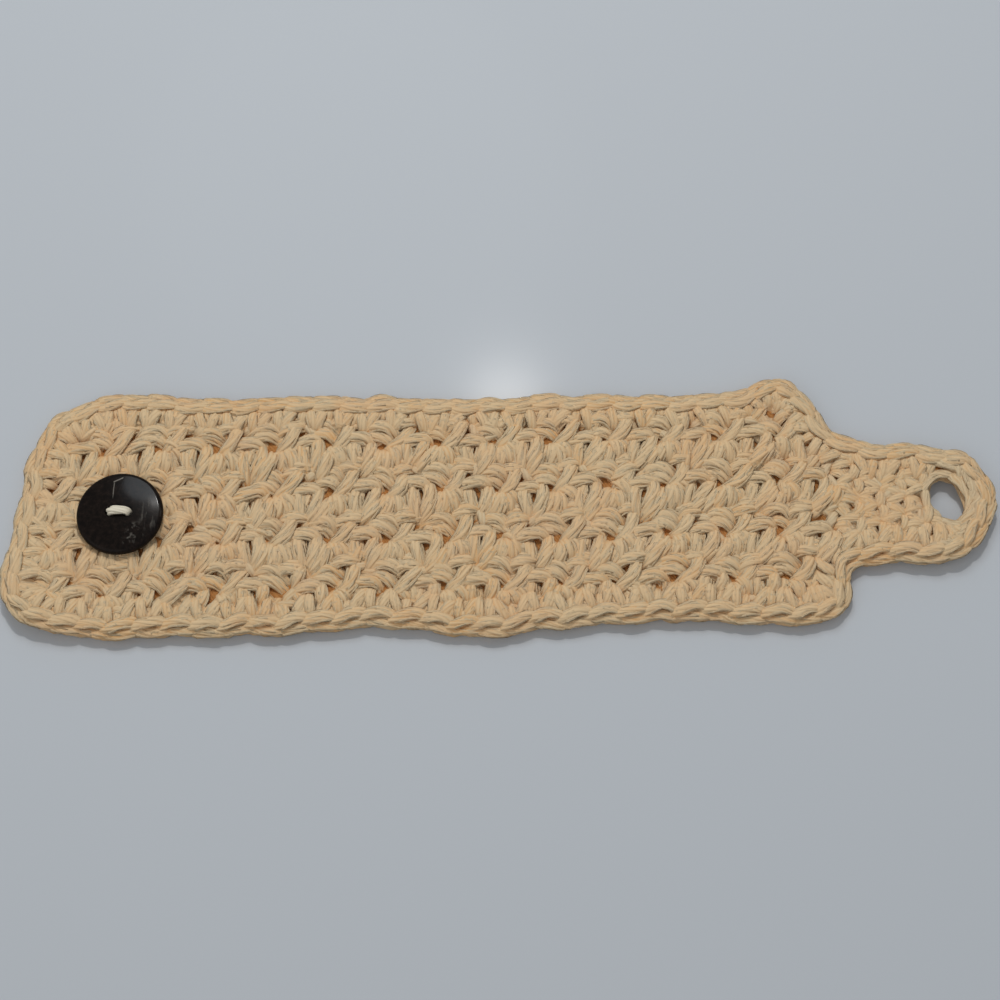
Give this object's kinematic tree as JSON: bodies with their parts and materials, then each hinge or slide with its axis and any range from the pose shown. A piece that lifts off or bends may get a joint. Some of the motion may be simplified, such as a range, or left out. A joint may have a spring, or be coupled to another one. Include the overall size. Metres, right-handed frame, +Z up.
{
  "type": "cup cozy",
  "caption": "Crocheted cotton cup cozy lying open and flat: a long cream wrap with a dark round button near one end and a buttonhole tab at the other.",
  "frame": {"origin": "middle of the outline, on the surface that the wrap lies on", "axes": "+X along the wrap towards the buttonhole tab, +Y across it towards the edge with the flared corner, +Z up, away from the surface"},
  "size_m": [0.2857, 0.08, 0.0114],
  "materials": {
    "cream_yarn": "matt, soft plied cotton yarn",
    "coconut_shell": "satin, polished dark shell"
  },
  "bodies": {
    "root": {"panel": "cream_yarn", "button_tab": "cream_yarn", "edging": "cream_yarn", "button": "coconut_shell", "sewing_yarn": "cream_yarn"}
  },
  "joints": []
}
